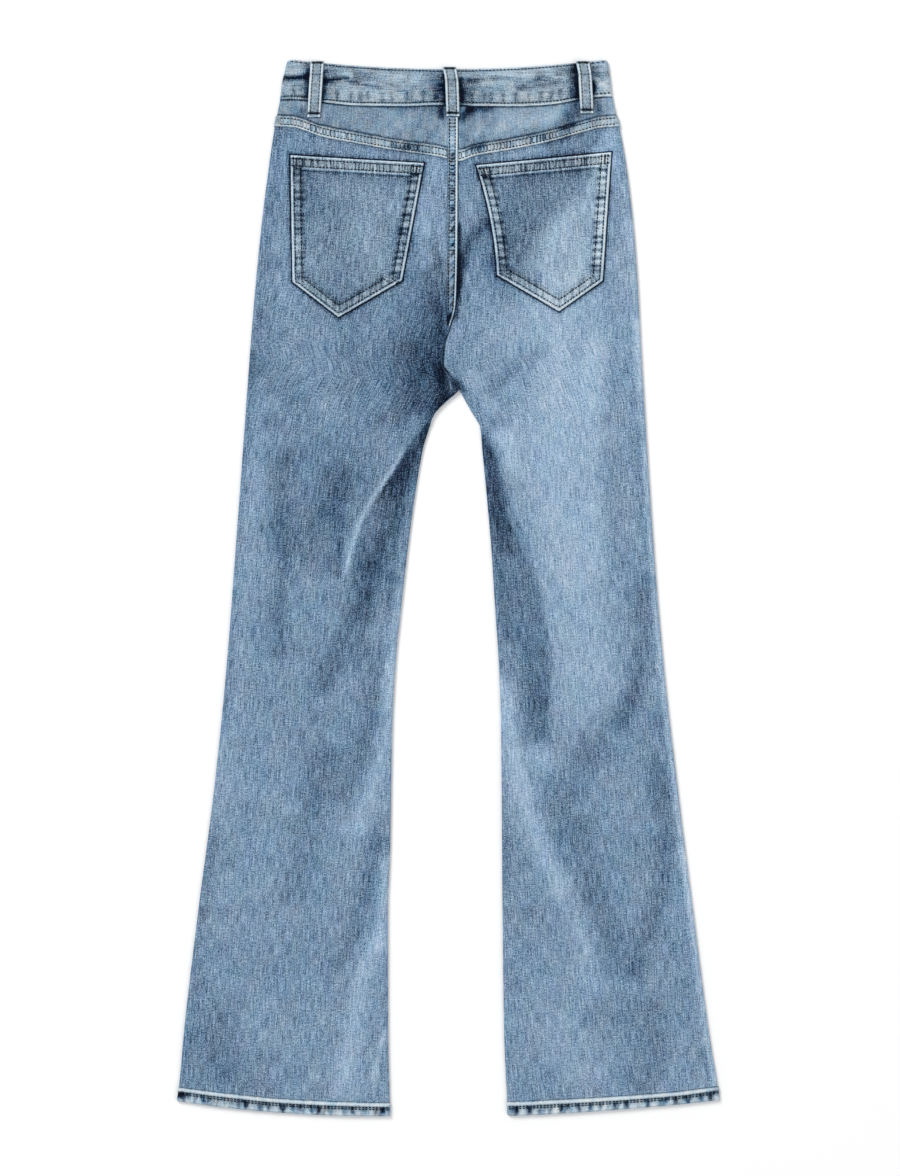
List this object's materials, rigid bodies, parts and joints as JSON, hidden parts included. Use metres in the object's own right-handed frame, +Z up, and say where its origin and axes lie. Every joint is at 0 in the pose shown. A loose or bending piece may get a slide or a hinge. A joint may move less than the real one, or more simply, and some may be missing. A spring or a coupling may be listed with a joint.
{
  "type": "flared jeans laid flat",
  "caption": "Light blue high-waisted flared jeans laid flat with the back up, with yoke, felled seat seam, patch pockets, belt loops and stitched hems.",
  "frame": {"origin": "on the surface that the jeans lie on, under the centre of their outline", "axes": "+Z up, away from the surface; +Y towards the waist; +X to the right of the back view, so the wearer's right leg is at +X"},
  "size_m": [0.5552, 1.0782, 0.0091],
  "materials": {
    "denim": "light blue washed denim, matt",
    "denim_trim": "the same denim, paler where seams and folded edges rub",
    "button": "dull antique metal"
  },
  "bodies": {
    "root": {"waistband_back": "denim_trim", "waistband_front_left": "denim_trim", "waistband_front_right": "denim_trim", "button": "button", "yoke_left": "denim", "yoke_right": "denim", "back_leg_left": "denim", "back_leg_right": "denim", "front_leg_left": "denim", "front_leg_right": "denim", "hem_back_left": "denim_trim", "hem_back_right": "denim_trim", "hem_front_left": "denim_trim", "hem_front_right": "denim_trim", "pocket_left": "denim", "pocket_right": "denim", "seat_seam": "denim_trim", "yoke_seam_left": "denim_trim", "yoke_seam_right": "denim_trim", "belt_loop_left": "denim_trim", "belt_loop_middle": "denim_trim", "belt_loop_right": "denim_trim"}
  },
  "joints": []
}
